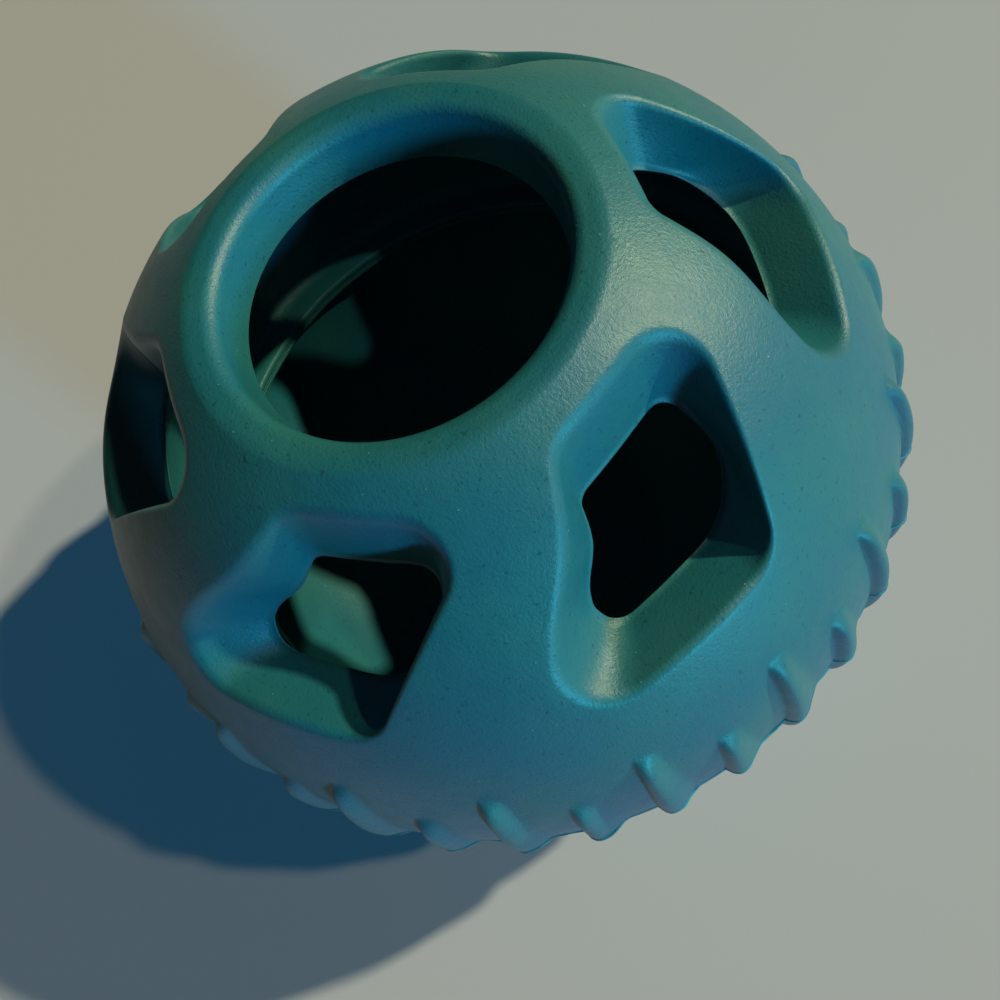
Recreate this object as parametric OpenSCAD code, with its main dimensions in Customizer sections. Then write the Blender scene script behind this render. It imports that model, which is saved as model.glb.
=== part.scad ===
/* [Ball] */
// Radius of the ball at its equator, between the ribs
ball_radius = 50; // [30:0.5:80]
// Half height of the oval that the ball's side follows
ball_half_height = 48; // [29:0.5:78]
// Thickness of the rubber wall
wall = 7; // [4:0.1:9]
// Thickness of the bond between the two halves
bond_thickness = 0.4; // [0.2:0.05:1]
// How far the bond line stands proud of the ball and of its ribs
bond_proud = 0.3; // [0.1:0.05:0.6]
// Width of the flange inside the wall, where the halves are joined
flange_width = 4.9; // [1:0.1:6]
// Height of that flange on each half
flange_height = 1.2; // [0.8:0.1:4]

/* [Mouth] */
// Radius of the mouth at the sharp inner edge of the wall
mouth_radius = 16.9; // [8:0.1:20]
// Draft of the mouth's wall, in degrees, so that it widens outwards
mouth_draft = 5; // [0:0.5:12]
// Radius of the rounded lip of the mouth
mouth_lip = 2.4; // [1:0.1:3]
// Width of the flat ring round the mouth, and of the ring under the foot that the ball stands on
rest_width = 1.2; // [0.5:0.1:3]
// Depth of the shallow recess in the middle of the closed foot
foot_recess = 1.2; // [0.5:0.1:2]

/* [Windows] */
// Number of windows round the upper half
window_count = 6; // [3:1:7]
// Distance from the mouth's axis to a window's middle, along the ball's side
window_drop = 37.9; // [30:0.1:42]
// Distance of each window's outer foot corner to the left of its middle
window_foot_left = 21.3; // [16:0.1:23]
// Distance of each window's outer foot corner to the right of its middle
window_foot_right = 6.3; // [4:0.1:12]
// Distance of each window's outer head corner to the left of its middle
window_head_left = 2; // [0:0.1:10]
// Distance of each window's outer head corner to the right of its middle
window_head_right = 16.2; // [10:0.1:17]
// Distance from a window's middle down to its outer foot
window_foot = 11.8; // [8:0.1:13]
// Distance from a window's middle up to its outer head, at the left corner
window_head = 12; // [8:0.1:13]
// How much higher the right corner of a head lies than its left corner
head_rise = 1.6; // [0:0.1:2]
// Radius of a window's outer corners
window_corner = 4.8; // [2:0.1:6]
// Radius of the rounded lip of a window
window_lip = 1.2; // [0.5:0.1:3]

/* [Window throats] */
// Distance of each throat's foot corner to the left of the window's middle
throat_foot_left = 10.4; // [6:0.1:14]
// Distance of each throat's foot corner to the right of the window's middle
throat_foot_right = 12.2; // [8:0.1:14]
// Distance of each throat's head corner to the left of the window's middle
throat_head_left = 2.6; // [0:0.1:8]
// Distance of each throat's head corner to the right of the window's middle
throat_head_right = 10.2; // [8:0.1:14]
// Distance from the window's middle down to its throat's foot
throat_foot = 8.6; // [6:0.1:11]
// Distance from the window's middle up to its throat's head, at the left corner
throat_head = 4.6; // [3:0.1:9]
// Radius of a throat's corners
throat_corner = 2.5; // [1:0.1:3]
// Radius of a throat's wide corner, at the right of its foot
throat_wide_corner = 8; // [2:0.1:8]

/* [Ribs] */
// Number of ribs round the equator, long and short in turn
rib_count = 36; // [12:12:48]
// Half the width of a rib at its buried foot
rib_half_width = 1.9; // [1:0.05:2.4]
// How far a rib stands proud of the ball
rib_height = 1.4; // [0.6:0.05:1.6]
// Distance that a long rib runs up and down from the equator
rib_long = 17.5; // [8:0.1:20]
// Distance that a short rib runs up and down from the equator
rib_short = 12; // [6:0.1:16]
// Turn of the ribs from the windows' middles, in degrees
rib_turn = 0.8; // [0:0.1:5]

/* [Hidden] */
// Steps of the side's profile, of a lip, of a corner and along a window's edge
profile_steps = 14;
lip_steps = 4;
corner_steps = 4;
edge_steps = 4;
turn_facets = 96;
// Overrun of a window cutter past the wall's faces, and the height of its roof's tip, as shares of the wall
overrun_share = 0.3;
tip_share = 2;
// Heights in the wall at which a window cutter has a ring below its lip, as shares
throat_shares = [-overrun_share, 0.35];
// Angles round a window's lip at which it has rings, and where the lip meets the ball's side
lip_angles = [0, 26, 50, 74];
lip_edge_angle = 62;
// Steps along a rib, angles round its back and angles round its end
rib_steps = 5;
rib_back_angles = [180:-36:0];
rib_end_angles = [0, 34, 60, 84];
// Depth of a rib's foot below the ball's side, as a share of its height
rib_bury_share = 0.5;
inner_radius = ball_radius - wall;
inner_half_height = ball_half_height - wall;
half_bond = bond_thickness / 2;
rib_pitch = 360 / rib_count;
// The mouth's inner edge lies where the inner face has the mouth's radius
mouth_edge_z = inner_half_height * sqrt(1 - pow(mouth_radius / inner_radius, 2));
// Radius at which the flat ring meets the ball's side, and the height of that ring
lip_foot_radius = mouth_radius + wall * tan(mouth_draft);
rest_inner_radius = lip_foot_radius + mouth_lip;
rest_outer_radius = rest_inner_radius + rest_width;
rest_z = ball_half_height * sqrt(1 - pow(rest_outer_radius / ball_radius, 2));
// Distance of the hollow's flat floor from the equator, so that the foot is as thick as the wall
floor_z = rest_z - wall;
flange_inner_radius = inner_radius - flange_width;
rib_bury = rib_height * rib_bury_share;

function unit(v) = v / norm(v);
function mix(a, b, t) = a + (b - a) * t;
function degrees(length, radius) = length / radius * 180 / PI;

// Corners of a window's outer outline, in degrees about its middle, foot left first
window_corners = [for (p = [
        [-window_foot_left, -window_foot],
        [window_foot_right, -window_foot],
        [window_head_right, window_head + head_rise],
        [-window_head_left, window_head]]) [for (v = p) degrees(v, ball_radius)]];
// Corners of the throat, which is the same outline at the wall's inner face
throat_corners = [for (p = [
        [-throat_foot_left, -throat_foot],
        [throat_foot_right, -throat_foot],
        [throat_head_right, throat_head + head_rise],
        [-throat_head_left, throat_head]]) [for (v = p) degrees(v, inner_radius)]];

// Radii of the corners of both outlines, in degrees, foot left first
window_radii = [for (i = [0:3]) degrees(window_corner, ball_radius)];
throat_radii = [for (r = [throat_corner, throat_wide_corner, throat_corner, throat_corner])
    degrees(r, inner_radius)];

// Centre of the arc that rounds one corner of an outline by a radius
function arc_centre(corners, i, r) =
    let (n = len(corners),
         back = unit(corners[(i + n - 1) % n] - corners[i]),
         ahead = unit(corners[(i + 1) % n] - corners[i]))
    corners[i] + unit(back + ahead) * r / sin(acos(back * ahead) / 2);

// Direction of the outward normal of the edge that leaves a corner
function edge_normal(corners, i) =
    let (run = corners[(i + 1) % len(corners)] - corners[i]) atan2(-run[0], run[1]);

// Outline with round corners, grown outwards by a lip: arcs, with steps along each edge
function outline(corners, radii, grow) =
    let (n = len(corners),
         centres = [for (i = [0:n - 1]) arc_centre(corners, i, radii[i])],
         arcs = [for (i = [0:n - 1])
             let (a0 = edge_normal(corners, (i + n - 1) % n),
                  turn = (edge_normal(corners, i) - a0 + 720) % 360)
             [for (k = [0:corner_steps])
                 let (a = a0 + turn * k / corner_steps)
                 centres[i] + (radii[i] + grow) * [cos(a), sin(a)]]])
    [for (i = [0:n - 1]) each concat(arcs[i],
        [for (k = [1:edge_steps - 1])
            mix(arcs[i][corner_steps], arcs[(i + 1) % n][0], k / edge_steps)])];

// Unit vector of a point that lies a number of degrees from a window's middle
function window_direction(p) =
    let (drop = degrees(window_drop, ball_radius),
         reach = norm(p),
         heading = reach > 0 ? p / reach : [0, 0],
         out = [sin(drop), 0, cos(drop)],
         right = [0, 1, 0],
         up = [-cos(drop), 0, sin(drop)])
    out * cos(reach) + (right * heading[0] + up * heading[1]) * sin(reach);

// Point of a direction at a share of the wall, from its inner to its outer face
function wall_point(d, share) =
    let (across = mix(inner_radius, ball_radius, share),
         tall = mix(inner_half_height, ball_half_height, share))
    [d[0] * across, d[1] * across, d[2] * tall];

// Ring of a window cutter at a share of the wall
function cutter_ring(share, grow) =
    let (corners = mix(throat_corners, window_corners, min(share, 1)),
         radii = mix(throat_radii, window_radii, min(share, 1)))
    [for (p = outline(corners, radii, degrees(grow, ball_radius)))
        wall_point(window_direction(p), share)];

// Faces between rings of points that follow each other, and the floor of the first ring
function ring_faces(rings) =
    let (sides = len(rings[0]))
    concat([[for (i = [0:sides - 1]) i]],
        [for (j = [0:len(rings) - 2], i = [0:sides - 1])
            let (a = j * sides + i, b = j * sides + (i + 1) % sides)
            each [[a, a + sides, b], [b, a + sides, b + sides]]]);

// Cutter of one window: a throat that widens outwards and ends in a rounded lip
module window_cutter() {
    lip_share = 1 - window_lip * sin(lip_edge_angle) / wall;
    rings = concat(
        [for (share = throat_shares) cutter_ring(share, 0)],
        [for (a = lip_angles)
            cutter_ring(lip_share + window_lip * sin(a) / wall, window_lip * (1 - cos(a)))],
        [cutter_ring(1 + overrun_share, window_lip * (1 - cos(lip_angles[3])))]);
    sides = len(rings[0]);
    tip = len(rings) * sides;
    roof = [for (i = [0:sides - 1]) [tip - sides + i, tip, tip - sides + (i + 1) % sides]];
    polyhedron([for (ring = rings) each ring, wall_point(window_direction([0, 0]), tip_share)],
        concat(ring_faces(rings), roof));
}

// Section of a half: inner face, mouth or closed foot, rounded lip, flat ring and outer face
module half_section(is_open) {
    inner_start = asin(flange_height / inner_half_height);
    inner_end = asin((is_open ? mouth_edge_z : floor_z) / inner_half_height);
    outer_end = asin(rest_z / ball_half_height);
    lip = is_open ? mouth_lip : foot_recess;
    lip_centre = [rest_inner_radius, rest_z - lip];
    polygon(concat(
        [[flange_inner_radius, 0], [flange_inner_radius, flange_height]],
        [for (k = [0:profile_steps])
            let (a = mix(inner_start, inner_end, k / profile_steps))
            [inner_radius * cos(a), inner_half_height * sin(a)]],
        is_open ? [] : [[0, floor_z], [0, rest_z - foot_recess]],
        [for (k = [0:lip_steps])
            let (a = 180 - 90 * k / lip_steps) lip_centre + lip * [cos(a), sin(a)]],
        [for (k = [profile_steps:-1:0])
            let (a = outer_end * k / profile_steps)
            [ball_radius * cos(a), ball_half_height * sin(a)]]));
}

// Section of a rib at a distance along the ball's side, at a share of its full size
function rib_ring(along, size) =
    let (a = degrees(along, ball_half_height),
         out = unit([cos(a) / ball_radius, 0, sin(a) / ball_half_height]),
         foot = [ball_radius * cos(a), 0, ball_half_height * sin(a)] - out * rib_bury)
    [for (b = rib_back_angles)
        foot + size * ([0, rib_half_width * cos(b), 0] + out * (rib_height + rib_bury) * sin(b))];

// One rib's upper half: a bar with a round back and a round end, its foot below the ball's side
module half_rib(length) {
    straight = length - rib_half_width;
    rings = concat(
        [for (k = [0:rib_steps]) rib_ring(mix(-rib_height, straight, k / rib_steps), 1)],
        [for (a = rib_end_angles) if (a > 0)
            rib_ring(straight + rib_half_width * sin(a), cos(a))]);
    sides = len(rings[0]);
    last = (len(rings) - 1) * sides;
    polyhedron([for (ring = rings) each ring],
        concat(ring_faces(rings), [[for (i = [sides - 1:-1:0]) last + i]]));
}

// One moulded half with its mouth or its foot upwards: the open one has the windows
module half_shell(is_open) {
    difference() {
        union() {
            rotate_extrude($fn = turn_facets) half_section(is_open);
            for (i = [0:rib_count - 1]) rotate([0, 0, rib_turn + rib_pitch * i])
                half_rib(i % 2 == 0 ? rib_long : rib_short);
        }
        if (is_open) for (i = [0:window_count - 1])
            rotate([0, 0, 360 / window_count * i]) window_cutter();
        translate([0, 0, half_bond - wall]) cylinder(h = wall, r = ball_radius + wall);
    }
}

// Upper half of the ball, with the mouth that is filled and the windows that treats fall out of
module upper_shell() {
    color("teal") translate([0, 0, rest_z]) half_shell(true);
}

// Lower half: a closed cup that holds the treats, turned so that its ribs meet those above
module lower_shell() {
    color("teal") translate([0, 0, rest_z])
        rotate([0, 0, 2 * rib_turn]) rotate([180, 0, 0]) half_shell(false);
}

// Bond between the two halves, whose edge shows as a thin line round the equator and over the ribs
module seam_bond() {
    crest = ball_radius + rib_height + bond_proud;
    color("darkcyan") translate([0, 0, rest_z - half_bond]) linear_extrude(bond_thickness) difference() {
        union() {
            circle(r = ball_radius + bond_proud, $fn = turn_facets);
            for (i = [0:rib_count - 1]) rotate(rib_turn + rib_pitch * i)
                translate([crest - rib_half_width, 0]) circle(r = rib_half_width, $fn = 24);
        }
        circle(r = flange_inner_radius, $fn = turn_facets);
    }
}

upper_shell();
lower_shell();
seam_bond();
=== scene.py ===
"""Looks of a treat dispensing ball: a windowed rubber half over a closed one, bonded at the equator.

The smooth halves stand for the faceted solids and follow the same sizes, apart from lips that are a little
tighter and ribs that have one steep and one gentle side. All lengths are in metres and all angles in degrees,
unless a name says otherwise.
"""

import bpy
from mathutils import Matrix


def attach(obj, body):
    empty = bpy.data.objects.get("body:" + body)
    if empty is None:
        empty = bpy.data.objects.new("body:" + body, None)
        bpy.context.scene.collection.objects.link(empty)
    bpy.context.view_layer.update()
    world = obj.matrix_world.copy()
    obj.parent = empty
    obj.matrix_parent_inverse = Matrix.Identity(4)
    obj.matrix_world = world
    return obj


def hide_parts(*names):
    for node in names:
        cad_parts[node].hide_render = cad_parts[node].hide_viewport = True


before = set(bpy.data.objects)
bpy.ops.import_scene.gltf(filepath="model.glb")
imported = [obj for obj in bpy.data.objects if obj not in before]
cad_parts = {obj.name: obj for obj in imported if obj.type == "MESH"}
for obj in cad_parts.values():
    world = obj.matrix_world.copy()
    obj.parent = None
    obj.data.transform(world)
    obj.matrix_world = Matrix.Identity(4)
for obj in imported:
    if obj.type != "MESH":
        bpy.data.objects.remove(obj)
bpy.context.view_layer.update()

import logging
import math
from dataclasses import dataclass, field
from enum import Enum
from typing import Callable, Iterable, Sequence, TypeVar

import bmesh
import bpy
from mathutils import Matrix, Vector, noise

logging.basicConfig(level=logging.INFO, format="%(message)s")
LOG = logging.getLogger("treat_ball")
MM = 0.001
MERGE_DISTANCE = 0.004 * MM
Blended = TypeVar("Blended", float, Vector)


def mix(low: Blended, high: Blended, share: float) -> Blended:
    """Returns the value that lies at a share of the way from low to high."""
    return low + (high - low) * share


def clamp(value: float, low: float, high: float) -> float:
    """Returns the value, or the limit that it lies beyond."""
    return max(low, min(high, value))


def spherical(polar: float, azimuth: float) -> Vector:
    """Gives the unit vector at two angles.

    Args:
        polar: Angle from the axis through the mouth.
        azimuth: Angle round that axis.

    Returns:
        The direction, in the space in which the ball's side is a sphere.
    """
    p, a = math.radians(polar), math.radians(azimuth)
    return Vector((math.sin(p) * math.cos(a), math.sin(p) * math.sin(a), math.cos(p)))


def ripple(where: Vector, waves: Iterable[tuple[float, float]]) -> float:
    """Sums waves of noise at a spot.

    Args:
        where: The spot.
        waves: How often each wave turns, and how much it weighs.

    Returns:
        The sum, which is about 0 on average.
    """
    return sum(weight * noise.noise(where * often) for often, weight in waves)


def arc(centre: Sequence[float], radius: float, start: float, sweep: float, steps: int) -> list[tuple[float, float]]:
    """Lists points along an arc of a profile.

    Args:
        centre: Middle of the arc.
        radius: Its radius.
        start: Angle of its first point.
        sweep: Angle from its first point to its last.
        steps: Number of steps between them.

    Returns:
        The points, each as a distance from the axis and a height.
    """
    angles = [math.radians(start + sweep * k / steps) for k in range(steps + 1)]
    return [(centre[0] + radius * math.cos(a), centre[1] + radius * math.sin(a)) for a in angles]


def oval_point(radius: float, half_height: float, angle: float) -> tuple[float, float]:
    """Gives a point of an oval profile.

    Args:
        radius: Radius of the oval at the equator.
        half_height: Its half height.
        angle: Angle over the equator, in the space in which the oval is a circle.

    Returns:
        The point, as a distance from the axis and a height.
    """
    return radius * math.cos(math.radians(angle)), half_height * math.sin(math.radians(angle))


def grid_mesh(columns: int, rows: int, place: Callable[[int, int], Vector]) -> bmesh.types.BMesh:
    """Makes a grid of quads and moves each of its points.

    Args:
        columns: Number of quads along the first direction.
        rows: Number of quads along the second direction.
        place: Gives the place of the point with a column and a row number.

    Returns:
        The mesh, whose last column may lie on its first.
    """
    grid = bmesh.new()
    bmesh.ops.create_grid(grid, x_segments=columns, y_segments=rows, size=0.5)
    for vert in grid.verts:
        vert.co = place(round((vert.co.x + 0.5) * columns), round((vert.co.y + 0.5) * rows))
    return grid


def add_mesh(target: bmesh.types.BMesh, part: bmesh.types.BMesh, turn: float = 0.0) -> None:
    """Adds a turned copy of one mesh to another.

    Args:
        target: Mesh that receives the copy.
        part: Mesh that is copied.
        turn: Angle of the copy about the vertical axis.
    """
    copy = bpy.data.meshes.new("part")
    part.to_mesh(copy)
    copy.transform(Matrix.Rotation(math.radians(turn), 4, "Z"))
    target.from_mesh(copy)
    bpy.data.meshes.remove(copy)


@dataclass(frozen=True)
class BallSizes:
    """Sizes of the ball.

    A window's corners and radii are in millimetres on the face of the wall where they lie, about its middle. A
    rib's pairs of widths are for its start at the equator and for its tip.
    """

    radius: float = 50 * MM
    half_height: float = 48 * MM
    wall: float = 7 * MM
    bond_thickness: float = 0.4 * MM
    bond_proud: float = 0.3 * MM
    flange_width: float = 4.9 * MM
    flange_height: float = 1.2 * MM
    mouth_radius: float = 16.9 * MM
    mouth_draft: float = 5.0
    mouth_lip: float = 1.7 * MM
    rest_width: float = 1.9 * MM
    foot_recess: float = 1.2 * MM
    window_count: int = 6
    window_drop: float = 37.9 * MM
    window_corners: tuple = ((-21.3, -11.8), (6.3, -11.8), (16.2, 13.6), (-2.0, 12.0))
    window_radii: tuple = (4.8, 4.8, 4.8, 4.8)
    window_lip: float = 0.9 * MM
    side_wave: float = 0.5
    throat_corners: tuple = ((-10.4, -8.6), (12.2, -8.6), (10.2, 5.8), (-2.6, 4.6))
    throat_radii: tuple = (2.5, 8.0, 2.5, 2.5)
    rib_count: int = 36
    rib_steep: tuple = (1.5 * MM, 0.9 * MM)
    rib_gentle: tuple = (4.2 * MM, 1.8 * MM)
    rib_crest: float = 0.4 * MM
    rib_end: float = 4.5 * MM
    rib_steep_power: float = 0.75
    rib_gentle_power: float = 2.2
    rib_tip_share: float = 0.88
    rib_height: float = 1.4 * MM
    rib_long: float = 17.5 * MM
    rib_short: float = 12.0 * MM
    rib_turn: float = 0.8

    @property
    def inner_radius(self) -> float:
        """Radius of the hollow at the equator."""
        return self.radius - self.wall

    @property
    def inner_half_height(self) -> float:
        """Half height of the oval that the hollow follows."""
        return self.half_height - self.wall

    @property
    def flange_rim(self) -> float:
        """Radius of the flange's rim."""
        return self.inner_radius - self.flange_width

    @property
    def half_bond(self) -> float:
        """Height of a half's base over the middle of the bond."""
        return self.bond_thickness / 2

    @property
    def rib_pitch(self) -> float:
        """Angle from one rib to the next."""
        return 360 / self.rib_count

    @property
    def sector(self) -> float:
        """Angle of one window's share of a half."""
        return 360 / self.window_count

    @property
    def rest_inner_radius(self) -> float:
        """Radius at which the mouth's lip meets the flat ring."""
        return self.mouth_radius + self.wall * math.tan(math.radians(self.mouth_draft)) + self.mouth_lip

    @property
    def rest_outer_radius(self) -> float:
        """Radius at which the flat ring meets the ball's side."""
        return self.rest_inner_radius + self.rest_width

    @property
    def rest_middle(self) -> tuple[float, float]:
        """Point in the middle of the flat ring's width."""
        return mix(self.rest_inner_radius, self.rest_outer_radius, 0.5), self.rest_height

    @property
    def rest_height(self) -> float:
        """Height of the flat ring over the equator."""
        return self.half_height * math.sqrt(1 - (self.rest_outer_radius / self.radius) ** 2)

    @property
    def mouth_edge_height(self) -> float:
        """Height of the mouth's sharp inner edge over the equator."""
        return self.inner_half_height * math.sqrt(1 - (self.mouth_radius / self.inner_radius) ** 2)

    def on_wall(self, direction: Vector, share: float) -> Vector:
        """Places a direction in the wall.

        Args:
            direction: Unit vector in the space in which the side is a sphere.
            share: 0 at the wall's inner face and 1 at its outer face.

        Returns:
            The point, about the middle of the ball.
        """
        across = mix(self.inner_radius, self.radius, share)
        tall = mix(self.inner_half_height, self.half_height, share)
        return Vector((direction.x * across, direction.y * across, direction.z * tall))

    def rib_rise(self, azimuth: float, along: float, across_radius: float, lean: float = 1.0) -> float:
        """Gives the height of the ribs, each with a steep and a gentle side, over the ball's side.

        Args:
            azimuth: Angle round the axis.
            along: Distance from the equator along the side.
            across_radius: Distance of the spot from the axis.
            lean: 1 where the gentle side is on the side of the larger azimuth, and -1 where it is opposite.

        Returns:
            The height, which is 0 between the ribs.
        """
        number = round((azimuth - self.rib_turn) / self.rib_pitch)
        length = self.rib_long if number % 2 == 0 else self.rib_short
        from_middle = math.radians(azimuth - self.rib_turn - number * self.rib_pitch) * across_radius
        off = lean * from_middle + self.rib_crest
        share = min(1.0, along / length)
        if off > 0:
            reach, power = off / mix(*self.rib_gentle, share), self.rib_gentle_power
        else:
            reach, power = off / mix(*self.rib_steep, share), self.rib_steep_power
        past_end = max(0.0, along - (length - self.rib_end)) / self.rib_end
        crosswise = max(0.0, 1 - reach * reach) ** power
        lengthwise = max(0.0, 1 - past_end ** 3)
        return self.rib_height * mix(1.0, self.rib_tip_share, share) * crosswise * lengthwise


@dataclass
class WindowOutline:
    """Outline of a window at one depth of the wall, in degrees about the window's middle."""

    corners: list[Vector]
    radii: list[float]
    wave: float
    arc_steps: int = 24
    wave_scale: float = 1.5  # Brings the peak of the long side's wave to about 1.
    bend_weight: float = math.degrees(2.6 / 50)  # Length of path that a turn of one radian is worth.

    @classmethod
    def on_face(cls, corners_mm: Sequence[Sequence[float]], radii_mm: Sequence[float], wave_mm: float,
                face_radius: float) -> "WindowOutline":
        """Turns an outline that is given on a face of the wall into degrees on it.

        Args:
            corners_mm: The corners, in millimetres about the window's middle.
            radii_mm: The corners' radii in millimetres.
            wave_mm: Size of the long side's wave in millimetres.
            face_radius: Radius of the face.

        Returns:
            The outline on that face.
        """
        scale = math.degrees(MM / face_radius)
        corners = [Vector(corner) * scale for corner in corners_mm]
        return cls(corners, [radius * scale for radius in radii_mm], wave_mm * scale)

    def towards(self, other: "WindowOutline", share: float) -> "WindowOutline":
        """Makes the outline at a share of the way to another outline.

        Args:
            other: The other outline, with as many corners.
            share: 0 for this outline and 1 for the other one.

        Returns:
            The outline between them.
        """
        corners = [mix(a, b, share) for a, b in zip(self.corners, other.corners)]
        radii = [mix(a, b, share) for a, b in zip(self.radii, other.radii)]
        return WindowOutline(corners, radii, mix(self.wave, other.wave, share))

    def arcs(self, grow: float) -> list[list[Vector]]:
        """Rounds the corners.

        Args:
            grow: Distance in degrees by which the outline is grown outwards.

        Returns:
            For each corner, finely spaced points along its arc.
        """
        steps, count, arcs = self.arc_steps, len(self.corners), []
        for i, corner in enumerate(self.corners):
            back = (self.corners[i - 1] - corner).normalized()
            ahead = (self.corners[(i + 1) % count] - corner).normalized()
            half_angle = math.acos(clamp(back.dot(ahead), -1.0, 1.0)) / 2
            centre = corner + (back + ahead).normalized() * self.radii[i] / math.sin(half_angle)
            start = math.atan2(back.x, -back.y)
            turn = math.pi - 2 * half_angle
            angles = [start + turn * k / steps for k in range(steps + 1)]
            arcs.append([centre + (self.radii[i] + grow) * Vector((math.cos(a), math.sin(a))) for a in angles])
        return arcs

    def side(self, corner: list[Vector], following: list[Vector], count: int) -> list[Vector]:
        """Spaces points from the middle of one corner's arc to the middle of the next, closer where they bend.

        Args:
            corner: Points of the first corner's arc.
            following: Points of the next corner's arc.
            count: Number of points.

        Returns:
            The points, without the middle of the next corner's arc.
        """
        middle = len(corner) // 2
        path = corner[middle:] + following[:middle + 1]
        bend = self.bend_weight * math.radians(90) / self.arc_steps
        cost = [0.0]
        for k in range(1, len(path)):
            on_straight = k == len(corner) - middle
            cost.append(cost[-1] + (path[k] - path[k - 1]).length + (0.0 if on_straight else bend))
        points, k = [], 0
        for step in range(count):
            aim = cost[-1] * step / count
            while cost[k + 1] < aim:
                k += 1
            points.append(mix(path[k], path[k + 1], (aim - cost[k]) / (cost[k + 1] - cost[k])))
        return points

    def loop(self, grow: float, side_steps: int) -> list[Vector]:
        """Walks round the outline, with a wave in its last side, the long one.

        Args:
            grow: Distance in degrees by which the outline is grown outwards.
            side_steps: Number of points for each of the four sides.

        Returns:
            The points, from the middle of the first corner's arc, anticlockwise.
        """
        arcs = self.arcs(grow)
        sides = [self.side(corner, following, side_steps) for corner, following in zip(arcs, arcs[1:] + arcs[:1])]
        along = (self.corners[0] - self.corners[-1]).normalized()
        outwards = Vector((along.y, -along.x))
        for step, point in enumerate(sides[-1]):
            turn = math.pi * step / side_steps
            point -= outwards * self.wave * self.wave_scale * math.sin(2 * turn) * math.sin(turn) ** 2
        return [point for side in sides for point in side]


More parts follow.
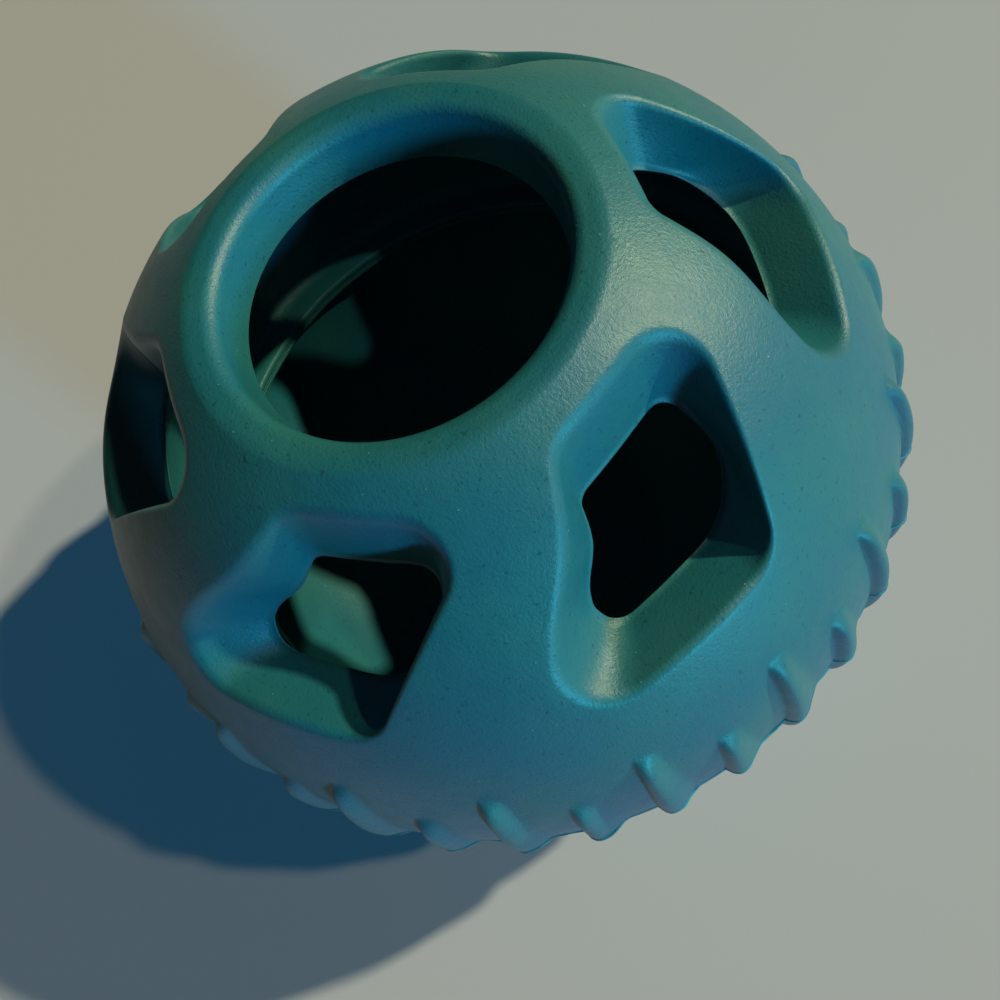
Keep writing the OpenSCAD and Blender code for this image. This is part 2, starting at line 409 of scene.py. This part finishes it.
@dataclass
class MouldedHalf:
    """What both halves share: the ribbed band at the equator, and the flange inside it.

    A half is built with its base down, about the middle of the ball. The band's columns are closest where a
    rib's steep side is.
    """

    sizes: BallSizes
    side_steps: int = 42
    band_rows: int = 50
    band_end: float = 22.4
    sector_end: float = 24.0
    foot_middle: float = -14.9
    rib_columns: tuple = (-5.0, -3.4, -2.5, -2.24, -2.14, -2.0, -1.82, -1.6, -1.35, -1.05, -0.75,
                          -0.46, -0.1, 0.35, 0.8, 1.3, 1.8, 2.3, 2.9, 3.5, 4.2, 5.0)
    lean: float = 1.0
    base_gap: float = 0.3 * MM
    groove: float = 0.10 * MM
    flange_round: float = 0.5 * MM
    flange_steps: int = 4
    mesh: bmesh.types.BMesh = field(default_factory=bmesh.new)

    def add_wall(self) -> None:
        """Adds what differs between the halves."""

    def add_turned(self, profile: Iterable[tuple[float, float]], start: float) -> None:
        """Adds a surface of revolution.

        Args:
            profile: Radius and height of each point of the profile.
            start: Azimuth of the first copy of the profile, so that its points meet the sectors' points.
        """
        turned = bmesh.new()
        line = [turned.verts.new(Vector((radius, 0, height))) for radius, height in profile]
        edges = [turned.edges.new(pair) for pair in zip(line, line[1:])]
        bmesh.ops.spin(turned, geom=line + edges, cent=(0, 0, 0), axis=(0, 0, 1), angle=2 * math.pi,
                       steps=self.side_steps * self.sizes.window_count, use_merge=True, use_duplicate=False)
        add_mesh(self.mesh, turned, start)
        turned.free()

    def add_flange(self) -> None:
        """Adds the top and the rim of the flange inside the wall."""
        sizes, turn = self.sizes, self.flange_round
        wall = sizes.inner_radius * math.sqrt(1 - (sizes.flange_height / sizes.inner_half_height) ** 2)
        profile = [(wall, sizes.flange_height), (mix(sizes.flange_rim, wall, 0.5), sizes.flange_height)]
        profile += arc((sizes.flange_rim + turn, sizes.flange_height - turn), turn, 90, 90, self.flange_steps)
        profile.append((sizes.flange_rim, sizes.half_bond + self.base_gap))
        self.add_turned(profile, self.foot_middle - sizes.sector / 2)

    def band_point(self, column: int, row: int) -> Vector:
        """Places one point of the band that carries the ribs.

        Args:
            column: Number of the point round the band.
            row: Its number from the base upwards. The base row is set in by the groove at the bond.

        Returns:
            The point.
        """
        sizes, per_rib = self.sizes, len(self.rib_columns) - 1
        number, part = divmod(column, per_rib)
        spread = sizes.rib_pitch / (self.rib_columns[-1] - self.rib_columns[0])
        place = self.rib_columns[part] if self.lean > 0 else -self.rib_columns[per_rib - part]
        azimuth = sizes.rib_turn + number * sizes.rib_pitch + place * spread
        start = math.degrees(math.asin(sizes.half_bond / sizes.half_height))
        polar = 90 - mix(start, self.band_end, row / self.band_rows)
        direction = spherical(polar, azimuth)
        point = sizes.on_wall(direction, 1)
        normal = Vector((direction.x / sizes.radius, direction.y / sizes.radius,
                         direction.z / sizes.half_height)).normalized()
        along = sizes.half_height * math.radians(90 - polar)
        rise = sizes.rib_rise(azimuth, along, math.hypot(point.x, point.y), self.lean)
        if row == 0:
            return point + Vector((normal.x, normal.y, 0)) * (rise - self.groove)
        return point + normal * rise

    def add_band(self) -> None:
        """Adds the flat base and the ball's side near the equator, with the ribs on it."""
        columns = self.sizes.rib_count * (len(self.rib_columns) - 1)

        def place(i: int, j: int) -> Vector:
            """Places a point, whose first row lies on the flange's rim."""
            point = self.band_point(i % columns, max(0, j - 1))
            if j > 0:
                return point
            rim = point.xy.normalized() * self.sizes.flange_rim
            return Vector((rim.x, rim.y, self.sizes.half_bond))

        band = grid_mesh(columns, self.band_rows + 1, place)
        add_mesh(self.mesh, band)
        band.free()

    def bridge(self, lowest: float, highest: float) -> None:
        """Joins the two open borders that lie between two heights.

        Args:
            lowest: Height under both borders.
            highest: Height over both borders.
        """
        edges = [e for e in self.mesh.edges
                 if e.is_boundary and all(lowest < v.co.z < highest for v in e.verts)]
        bmesh.ops.bridge_loops(self.mesh, edges=edges)

    def build(self) -> bmesh.types.BMesh:
        """Builds the closed half.

        Returns:
            The mesh, about the middle of the ball.
        """
        over_base = self.sizes.half_bond + 2 * self.base_gap
        self.add_wall()
        self.add_flange()
        self.add_band()
        bmesh.ops.remove_doubles(self.mesh, verts=self.mesh.verts, dist=MERGE_DISTANCE)
        self.bridge(0.0, over_base)
        self.bridge(over_base, self.sizes.rest_height)
        bmesh.ops.recalc_face_normals(self.mesh, faces=self.mesh.faces)
        open_edges = sum(1 for e in self.mesh.edges if not e.is_manifold)
        LOG.info("%s: %d faces, %d open edges", type(self).__name__, len(self.mesh.faces), open_edges)
        return self.mesh


@dataclass
class WindowedHalf(MouldedHalf):
    """The upper half, with the mouth and the slanted windows.

    Each crowding is the power that draws the rings of a face towards the window. The mouth's edge is given as
    steps out and up, in lengths of the edge's rounding.
    """

    inner_rings: int = 13
    inner_crowding: float = 1.5
    wall_rings: int = 8
    lip_rings: int = 7
    outer_rings: int = 9
    outer_crowding: float = 1.15
    top_middle: float = 15.5
    edge_round: float = 0.18 * MM
    edge_margin: float = 1.2
    flash: float = 0.13 * MM
    flash_share: float = 0.022
    flash_usual: float = 0.62
    flash_least: float = 0.2
    flash_waves: tuple = ((12, 0.5), (60, 0.2))
    mouth_lip_steps: int = 10
    mouth_wall_steps: int = 6
    mouth_edge: tuple = ((0.1, 1.0), (-0.1, 0.3), (0.0, 0.0))

    def __post_init__(self) -> None:
        """Sets up the map of a window's surroundings."""
        sizes = self.sizes
        drop = sizes.window_drop / sizes.radius
        self.out = Vector((math.sin(drop), 0, math.cos(drop)))
        self.right = Vector((0, 1, 0))
        self.up = Vector((-math.cos(drop), 0, math.sin(drop)))
        self.throat = WindowOutline.on_face(sizes.throat_corners, sizes.throat_radii, sizes.side_wave,
                                            sizes.inner_radius)
        self.window = WindowOutline.on_face(sizes.window_corners, sizes.window_radii, sizes.side_wave,
                                            sizes.radius)

    def direction(self, spot: Vector) -> Vector:
        """Gives the unit vector of a spot.

        Args:
            spot: The spot, in degrees about a window's middle.

        Returns:
            Its direction, in the space in which the ball's side is a sphere.
        """
        reach = spot.length
        if reach < 1e-9:
            return self.out.copy()
        across = self.right * (spot.x / reach) + self.up * (spot.y / reach)
        return self.out * math.cos(math.radians(reach)) + across * math.sin(math.radians(reach))

    def spot(self, direction: Vector) -> Vector:
        """Gives the spot of a unit vector.

        Args:
            direction: The unit vector, in the space in which the ball's side is a sphere.

        Returns:
            Its spot, in degrees about a window's middle.
        """
        reach = math.degrees(math.acos(clamp(direction.dot(self.out), -1.0, 1.0)))
        flat = Vector((direction.dot(self.right), direction.dot(self.up)))
        return flat.normalized() * reach

    def on_wall(self, spot: Vector, share: float) -> Vector:
        """Places a spot, in degrees about a window's middle, at a share of the wall's depth."""
        return self.sizes.on_wall(self.direction(spot), share)

    def sector_loop(self, top: float, foot: float) -> list[Vector]:
        """Walks round the border of one window's sector.

        Args:
            top: Polar angle of the border at the mouth.
            foot: Polar angle of the border towards the equator.

        Returns:
            Spots about the window's middle, from the foot's left corner, anticlockwise.
        """
        half = self.sizes.sector / 2
        corners = ((foot, self.foot_middle - half), (foot, self.foot_middle + half),
                   (top, self.top_middle + half), (top, self.top_middle - half))
        loop = []
        for (polar, azimuth), (next_polar, next_azimuth) in zip(corners, corners[1:] + corners[:1]):
            for k in range(self.side_steps):
                share = k / self.side_steps
                border = spherical(mix(polar, next_polar, share), mix(azimuth, next_azimuth, share))
                loop.append(self.spot(border))
        return loop

    def polar_inside(self) -> tuple[float, float]:
        """Gives the polar angles of the hollow's face at the mouth's edge and at the top of the flange."""
        sizes = self.sizes
        return (math.degrees(math.asin(sizes.mouth_radius / sizes.inner_radius)),
                math.degrees(math.acos(sizes.flange_height / sizes.inner_half_height)))

    def polar_outside(self) -> tuple[float, float]:
        """Gives the polar angles of the ball's side at the flat ring and at the end of the sectors."""
        return math.degrees(math.asin(self.sizes.rest_outer_radius / self.sizes.radius)), 90 - self.sector_end

    def throat_rings(self) -> list[list[Vector]]:
        """Lists the rings of the hollow's face round a window, and of the thin flash at its throat.

        Returns:
            Rings of points, from the sector's border to the flash's outer side.
        """
        steps, to_degrees = self.side_steps, math.degrees(1 / self.sizes.radius)
        border = self.sector_loop(*self.polar_inside())
        edge = self.throat.loop(self.edge_round * to_degrees * self.edge_margin, steps)
        rings = []
        for k in range(self.inner_rings + 1):
            share = 1 - (1 - k / self.inner_rings) ** self.inner_crowding
            rings.append([self.on_wall(mix(b, e, share), 0) for b, e in zip(border, edge)])
        root, tip = self.throat.loop(0, steps), self.throat.loop(-self.flash * to_degrees, steps)
        torn = [mix(r, t, self.flash_left(self.direction(r))) for r, t in zip(root, tip)]
        rings += [[self.on_wall(spot, share) for spot in torn] for share in (0, self.flash_share)]
        return rings

    def window_rings(self) -> list[list[Vector]]:
        """Lists the rings of a window's slanted wall, of its lip and of the ball's side round it.

        Returns:
            Rings of points, from the throat to the sector's border.
        """
        sizes, steps = self.sizes, self.side_steps
        lip_share = 1 - sizes.window_lip / sizes.wall
        depths = [(mix(self.flash_share, lip_share, k / self.wall_rings), 0.0) for k in range(self.wall_rings + 1)]
        for k in range(1, self.lip_rings + 1):
            a = math.radians(90 * k / self.lip_rings)
            grow = sizes.window_lip * (1 - math.cos(a)) * math.degrees(1 / sizes.radius)
            depths.append((mix(lip_share, 1, math.sin(a)), grow))
        rings = []
        for share, grow in depths:
            outline = self.throat.towards(self.window, share).loop(grow, steps)
            rings.append([self.on_wall(spot, share) for spot in outline])
        border = self.sector_loop(*self.polar_outside())
        for k in range(1, self.outer_rings + 1):
            share = (k / self.outer_rings) ** self.outer_crowding
            rings.append([self.on_wall(mix(spot, b, share), 1) for spot, b in zip(outline, border)])
        return rings

    def flash_left(self, direction: Vector) -> float:
        """Gives the share of the thin flash that trimming has left at a spot of a throat's edge."""
        return clamp(self.flash_usual + ripple(direction, self.flash_waves), self.flash_least, 1.0)

    def add_sectors(self) -> None:
        """Adds the windows and the wall round them."""
        rings = self.throat_rings() + self.window_rings()
        count = len(rings[0])
        sector = grid_mesh(count, len(rings) - 1, lambda i, j: rings[j][i % count])
        for k in range(self.sizes.window_count):
            add_mesh(self.mesh, sector, self.sizes.sector * k)
        sector.free()

    def add_mouth(self) -> None:
        """Adds the flat ring, the rounded lip and the drafted wall of the mouth, down to its sharp edge."""
        sizes, steps = self.sizes, self.mouth_wall_steps
        lip = (sizes.rest_inner_radius, sizes.rest_height - sizes.mouth_lip)
        profile = [(sizes.rest_outer_radius, sizes.rest_height), sizes.rest_middle]
        profile += arc(lip, sizes.mouth_lip, 90, 90 - sizes.mouth_draft, self.mouth_lip_steps)
        edge = [(sizes.mouth_radius + self.edge_round * out, sizes.mouth_edge_height + self.edge_round * up)
                for out, up in self.mouth_edge]
        high, low = profile[-1], edge[0]
        profile += [(mix(high[0], low[0], k / steps), mix(high[1], low[1], k / steps)) for k in range(1, steps + 1)]
        self.add_turned(profile + edge[1:], self.top_middle - sizes.sector / 2)

    def add_wall(self) -> None:
        """Adds the windows, the wall round them and the mouth."""
        self.add_sectors()
        self.add_mouth()


@dataclass
class ClosedHalf(MouldedHalf):
    """The lower half, a cup with a flat ring under its foot and a shallow recess inside the ring."""

    wall_steps: int = 26
    recess_steps: int = 5
    recess_rings: tuple = (0.95, 0.7, 0.4, 0.0)
    floor_rings: tuple = (0.0, 0.4, 0.7)
    corner_cut: float = 3.0 * MM
    corner_steps: int = 4
    lean: float = -1.0

    def outer_profile(self) -> list[tuple[float, float]]:
        """Draws the ball's side over the band, the flat ring and the recess.

        Returns:
            The points, as distances from the axis and heights, up to the axis.
        """
        sizes, steps = self.sizes, self.wall_steps
        rest = math.degrees(math.asin(sizes.rest_height / sizes.half_height))
        profile = [oval_point(sizes.radius, sizes.half_height, mix(self.sector_end, rest, k / steps))
                   for k in range(steps + 1)]
        low = (sizes.rest_inner_radius, sizes.rest_height - sizes.foot_recess)
        profile.append(sizes.rest_middle)
        profile += arc(low, sizes.foot_recess, 90, 90, self.recess_steps)
        return profile + [(profile[-1][0] * share, low[1]) for share in self.recess_rings]

    def inner_profile(self) -> list[tuple[float, float]]:
        """Draws the hollow's floor, its rounded corner and the hollow's face down to the flange.

        Returns:
            The points, as distances from the axis and heights, from the axis.
        """
        sizes, steps = self.sizes, self.wall_steps
        floor = sizes.rest_height - sizes.wall
        corner = math.degrees(math.asin(floor / sizes.inner_half_height))
        flange = math.degrees(math.asin(sizes.flange_height / sizes.inner_half_height))
        start = corner - math.degrees(self.corner_cut / sizes.inner_radius)
        edge = Vector((sizes.inner_radius * math.cos(math.radians(corner)), floor))
        before = Vector((edge.x - self.corner_cut, floor))
        after = Vector(oval_point(sizes.inner_radius, sizes.inner_half_height, start))
        profile = [(edge.x * share, floor) for share in self.floor_rings]
        for k in range(self.corner_steps + 1):
            share = k / self.corner_steps
            profile.append(tuple(mix(mix(before, edge, share), mix(edge, after, share), share)))
        return profile + [oval_point(sizes.inner_radius, sizes.inner_half_height, mix(start, flange, k / steps))
                          for k in range(1, steps + 1)]

    def add_wall(self) -> None:
        """Adds the ball's side, the foot with its recess, the floor and the hollow's face."""
        for profile in (self.outer_profile(), self.inner_profile()):
            self.add_turned(profile, self.foot_middle - self.sizes.sector / 2)


@dataclass
class SeamBond:
    """The bond between the halves, whose trimmed flash shows round the equator and over the ribs.

    Each point of its section is a share of the way from its rim to its edge, a height in half thicknesses, and a
    share of the corners' inset.
    """

    sizes: BallSizes
    columns: int = 1440
    section: tuple = ((0.0, -1.0, 0.0), (1.0, -1.0, 1.0), (1.0, -0.35, 0.0),
                      (1.0, 0.35, 0.0), (1.0, 1.0, 1.0), (0.0, 1.0, 0.0))
    corner_inset: float = 0.22 * MM
    usual_share: float = 0.4
    least_proud: float = 0.03 * MM
    unevenness: float = 0.16 * MM
    waves: tuple = ((9, 1.0), (40, 0.6))

    def edge_radius(self, azimuth: float) -> float:
        """Gives the distance of the flash's edge from the axis.

        Args:
            azimuth: Angle round the axis.

        Returns:
            The distance, over a rib or between ribs.
        """
        sizes = self.sizes
        where = Vector((math.cos(math.radians(azimuth)), math.sin(math.radians(azimuth)), 0))
        uneven = ripple(where, self.waves) * self.unevenness
        proud = clamp(sizes.bond_proud * self.usual_share + uneven, self.least_proud, sizes.bond_proud)
        return sizes.radius + sizes.rib_rise(azimuth, 0.0, sizes.radius) + proud

    def build(self) -> bmesh.types.BMesh:
        """Builds the ring about the middle of the ball.

        Returns:
            The closed mesh.
        """
        sizes = self.sizes

        def place(i: int, j: int) -> Vector:
            """Places a point of the section numbered j at the column numbered i."""
            azimuth = 360 * (i % self.columns) / self.columns
            out, level, inset = self.section[j % len(self.section)]
            radius = mix(sizes.flange_rim, self.edge_radius(azimuth), out) - self.corner_inset * inset
            a = math.radians(azimuth)
            return Vector((radius * math.cos(a), radius * math.sin(a), sizes.half_bond * level))

        ring = grid_mesh(self.columns, len(self.section), place)
        bmesh.ops.remove_doubles(ring, verts=ring.verts, dist=MERGE_DISTANCE)
        bmesh.ops.recalc_face_normals(ring, faces=ring.faces)
        return ring


class Slot(Enum):
    """Material slots of the record."""

    RUBBER = "rubber"
    SEAM = "seam_rubber"


@dataclass(frozen=True)
class Speckle:
    """A noise pattern in the rubber, with the limits between which it shows."""

    scale: float
    detail: float
    roughness: float = 0.5
    low: float = 0.0
    high: float = 1.0


class RubberNodes:
    """Adds nodes on object coordinates to one material."""

    def __init__(self, name: str) -> None:
        """Makes the material, called by the name."""
        self.material = bpy.data.materials.new(name)
        self.material.use_nodes = True
        self.nodes, self.links = self.material.node_tree.nodes, self.material.node_tree.links
        self.shader = self.nodes["Principled BSDF"]
        self.place = self.nodes.new("ShaderNodeTexCoord").outputs["Object"]

    def texture(self, pattern: Speckle) -> bpy.types.NodeSocket:
        """Adds a noise texture.

        Args:
            pattern: Its scale, detail and roughness.

        Returns:
            Its value.
        """
        made = self.nodes.new("ShaderNodeTexNoise")
        made.inputs["Scale"].default_value = pattern.scale
        made.inputs["Detail"].default_value = pattern.detail
        made.inputs["Roughness"].default_value = pattern.roughness
        self.links.new(self.place, made.inputs["Vector"])
        return made.outputs["Fac"]

    def stretched(self, pattern: Speckle) -> bpy.types.NodeSocket:
        """Adds a noise texture whose values between its limits are stretched to 0 and 1.

        Args:
            pattern: The texture and its limits.

        Returns:
            The stretched value.
        """
        made = self.nodes.new("ShaderNodeMapRange")
        made.interpolation_type = "SMOOTHSTEP"
        made.inputs["From Min"].default_value = pattern.low
        made.inputs["From Max"].default_value = pattern.high
        self.links.new(self.texture(pattern), made.inputs["Value"])
        return made.outputs["Result"]

    def tinted(self, under: bpy.types.NodeSocket | tuple, over: tuple, pattern: Speckle) -> bpy.types.NodeSocket:
        """Lays one colour over another where a pattern shows.

        Args:
            under: The colour below, a constant or a socket.
            over: The colour on top.
            pattern: Where the colour on top shows.

        Returns:
            The mixed colour.
        """
        made = self.nodes.new("ShaderNodeMix")
        made.data_type = "RGBA"
        share, low, high = made.inputs[0], made.inputs[6], made.inputs[7]
        self.links.new(self.stretched(pattern), share)
        high.default_value = over
        if isinstance(under, tuple):
            low.default_value = under
        else:
            self.links.new(under, low)
        return made.outputs[2]

    def bump(self, pattern: Speckle, strength: float, depth: float) -> bpy.types.Node:
        """Adds a bump.

        Args:
            pattern: Its height.
            strength: Its strength.
            depth: Depth of the pattern at full strength.

        Returns:
            The node.
        """
        made = self.nodes.new("ShaderNodeBump")
        made.inputs["Strength"].default_value = strength
        made.inputs["Distance"].default_value = depth
        self.links.new(self.texture(pattern), made.inputs["Height"])
        return made


@dataclass(frozen=True)
class RubberFinish:
    """Moulded teal rubber: satin, with cloudy colour, fine speckle, dust and a pebbled skin."""

    name: str
    base: tuple = (0.009, 0.122, 0.180, 1)
    cloud: tuple = (0.018, 0.142, 0.166, 1)
    deep: tuple = (0.006, 0.072, 0.112, 1)
    dust: tuple = (0.30, 0.38, 0.34, 1)
    clouds: Speckle = Speckle(55, 3, 0.5, 0.35, 0.68)
    spots: Speckle = Speckle(1900, 2, 0.6, 0.60, 0.76)
    dust_grains: Speckle = Speckle(2900, 1, 0.5, 0.80, 0.84)
    roughness: float = 0.41
    roughness_spread: tuple = (0.07, 0.10)
    satin: Speckle = Speckle(420, 4)
    specular: float = 0.50
    waviness: Speckle = Speckle(160, 2)
    wave_strength: float = 0.10
    wave_depth: float = 1.2 * MM
    pebbles: Speckle = Speckle(2900, 3, 0.7)
    pebble_strength: float = 0.30
    pebble_depth: float = 0.25 * MM

    def build(self) -> bpy.types.Material:
        """Builds the material.

        Returns:
            The material, with its colour, roughness and skin from noise on object coordinates.
        """
        made = RubberNodes(self.name)
        cloudy = made.tinted(self.base, self.cloud, self.clouds)
        spotted = made.tinted(cloudy, self.deep, self.spots)
        dusty = made.tinted(spotted, self.dust, self.dust_grains)
        made.links.new(dusty, made.shader.inputs["Base Color"])
        rough = made.nodes.new("ShaderNodeMapRange")
        rough.inputs["To Min"].default_value = self.roughness - self.roughness_spread[0]
        rough.inputs["To Max"].default_value = self.roughness + self.roughness_spread[1]
        made.links.new(made.texture(self.satin), rough.inputs["Value"])
        made.links.new(rough.outputs["Result"], made.shader.inputs["Roughness"])
        made.shader.inputs["Specular IOR Level"].default_value = self.specular
        broad = made.bump(self.waviness, self.wave_strength, self.wave_depth)
        fine = made.bump(self.pebbles, self.pebble_strength, self.pebble_depth)
        made.links.new(broad.outputs["Normal"], fine.inputs["Normal"])
        made.links.new(fine.outputs["Normal"], made.shader.inputs["Normal"])
        return made.material


class TreatBall:
    """The whole ball, in its place over the floor."""

    def __init__(self) -> None:
        """Takes the sizes and makes the finishes."""
        self.sizes = BallSizes()
        self.rubber = RubberFinish("teal_rubber").build()
        # The flash's base is lighter than the body's rubber: a painted highlight, so that the thin flash shows as a
        # bright line round the equator.
        self.flash = RubberFinish("teal_rubber_flash_painted_highlight", base=(0.02, 0.19, 0.23, 1), roughness=0.40).build()

    def piece(self, name: str, mesh: bmesh.types.BMesh, place: Matrix, node: str, slot: Slot,
              material: bpy.types.Material) -> None:
        """Makes one visible piece that stands for a solid.

        Args:
            name: Name of the piece.
            mesh: Its mesh about the middle of the ball, which is freed.
            place: Transform that is applied to the mesh.
            node: Solid that the piece stands for.
            slot: Material slot of the record; not used.
            material: Its finish.
        """
        data = bpy.data.meshes.new(name)
        mesh.to_mesh(data)
        mesh.free()
        data.transform(place)
        data.polygons.foreach_set("use_smooth", [True] * len(data.polygons))
        data.materials.append(material)
        made = bpy.data.objects.new(name, data)
        bpy.context.scene.collection.objects.link(made)
        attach(made, "root")
        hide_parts(node)
        LOG.info("%s: %d faces", name, len(data.polygons))

    def build(self) -> None:
        """Builds both halves and the bond, the lower half turned over so that its ribs meet the upper ones."""
        sizes = self.sizes
        middle = Matrix.Translation((0, 0, sizes.rest_height))
        over = middle @ Matrix.Rotation(math.radians(2 * sizes.rib_turn), 4, "Z") @ Matrix.Rotation(math.pi, 4, "X")
        upper, lower, bond = WindowedHalf(sizes).build(), ClosedHalf(sizes).build(), SeamBond(sizes).build()
        self.piece("windowed_rubber_half", upper, middle, "upper_shell", Slot.RUBBER, self.rubber)
        self.piece("closed_rubber_half", lower, over, "lower_shell", Slot.RUBBER, self.rubber)
        # The bond takes the flash finish, whose lighter colour is a painted highlight.
        self.piece("parting_line", bond, middle, "seam_bond", Slot.SEAM, self.flash)


@dataclass(frozen=True)
class Lamp:
    """A distant lamp, stated by the direction in which it is seen from the ball."""

    name: str
    towards: tuple
    strength: float
    spread: float
    colour: tuple

    def build(self) -> None:
        """Adds the lamp to the scene."""
        data = bpy.data.lights.new(self.name, "SUN")
        data.energy = self.strength
        data.angle = math.radians(self.spread)
        data.color = self.colour
        made = bpy.data.objects.new(self.name, data)
        made.rotation_euler = Vector(self.towards).to_track_quat("Z", "Y").to_euler()
        bpy.context.scene.collection.objects.link(made)


@dataclass
class Studio:
    """Pale floor, two warm keys side by side, a low blue fill, and the camera at the photograph's viewing angle.

    The camera's spot is about the middle of the ball, in millimetres. Light that bounces off the floor takes the
    bounce colour, so that the floor is pale without lighting the ball from below.
    """

    middle_height: float
    lens: float = 34.56
    sensor: float = 36.0
    nearest: float = 0.005
    camera_right: tuple = (0.66343, 0.70612, -0.24750)
    camera_up: tuple = (-0.62272, 0.70444, 0.34058)
    camera_spot_mm: tuple = (58.227, -14.274, 114.795)
    floor_reach: float = 3.0
    floor_roughness: float = 0.7
    floor_colour: tuple = (0.46, 0.48, 0.62, 1)
    floor_bounce: tuple = (0.10, 0.09, 0.08, 1)
    room_colour: tuple = (0.86, 0.93, 1.0, 1)
    room_strength: float = 0.02
    lamps: tuple = (
        Lamp("key", (0.286, 0.746, 0.602), 2.9, 2, (1.0, 0.93, 0.54)),
        Lamp("second_key", (0.470, 0.560, 0.682), 0.6, 2, (1.0, 0.93, 0.54)),
        Lamp("fill", (0.987, 0.069, 0.145), 2.6, 8, (0.07, 0.66, 1.0)),
    )

    def floor_material(self) -> bpy.types.Material:
        """Builds the floor's material.

        Returns:
            The material, pale where it is seen, also in gloss or through glass.
        """
        material = bpy.data.materials.new("pale_floor")
        material.use_nodes = True
        nodes, links = material.node_tree.nodes, material.node_tree.links
        shader, path, tint = (nodes["Principled BSDF"], nodes.new("ShaderNodeLightPath"), nodes.new("ShaderNodeMix"))
        shader.inputs["Roughness"].default_value = self.floor_roughness
        tint.data_type = "RGBA"
        tint.inputs[6].default_value = self.floor_bounce
        tint.inputs[7].default_value = self.floor_colour
        seen = path.outputs["Is Camera Ray"]
        for ray in ("Is Glossy Ray", "Is Transmission Ray"):
            either = nodes.new("ShaderNodeMath")
            either.operation = "MAXIMUM"
            links.new(seen, either.inputs[0])
            links.new(path.outputs[ray], either.inputs[1])
            seen = either.outputs[0]
        links.new(seen, tint.inputs[0])
        links.new(tint.outputs[2], shader.inputs["Base Color"])
        return material

    def add_floor(self) -> None:
        """Adds the plain pale floor."""
        mesh = bmesh.new()
        bmesh.ops.create_grid(mesh, x_segments=1, y_segments=1, size=self.floor_reach)
        data = bpy.data.meshes.new("floor")
        mesh.to_mesh(data)
        mesh.free()
        data.materials.append(self.floor_material())
        floor = bpy.data.objects.new("floor", data)
        bpy.context.scene.collection.objects.link(floor)

    def add_camera(self) -> None:
        """Adds the camera where the photograph was taken from."""
        data = bpy.data.cameras.new("camera")
        data.sensor_width = self.sensor
        data.lens = self.lens
        data.clip_start = self.nearest
        camera = bpy.data.objects.new("camera", data)
        right, up = Vector(self.camera_right), Vector(self.camera_up)
        turn = Matrix((right, up, right.cross(up))).transposed().to_4x4()
        spot = Vector(self.camera_spot_mm) * MM + Vector((0, 0, self.middle_height))
        camera.matrix_world = Matrix.Translation(spot) @ turn
        bpy.context.scene.collection.objects.link(camera)
        bpy.context.scene.camera = camera

    def add_world(self) -> None:
        """Adds the faint even light of the room."""
        world = bpy.data.worlds.new("room")
        world.use_nodes = True
        room = world.node_tree.nodes["Background"]
        room.inputs["Color"].default_value = self.room_colour
        room.inputs["Strength"].default_value = self.room_strength
        bpy.context.scene.world = world

    def build(self) -> None:
        """Builds the whole studio."""
        self.add_floor()
        self.add_camera()
        self.add_world()
        for lamp in self.lamps:
            lamp.build()
        bpy.context.scene.view_settings.view_transform = "Standard"
        LOG.info("studio: %d lamps", len(self.lamps))


def main() -> None:
    """Builds the studio and the ball."""
    ball = TreatBall()
    Studio(ball.sizes.rest_height).build()
    ball.build()


if __name__ == "__main__":
    main()
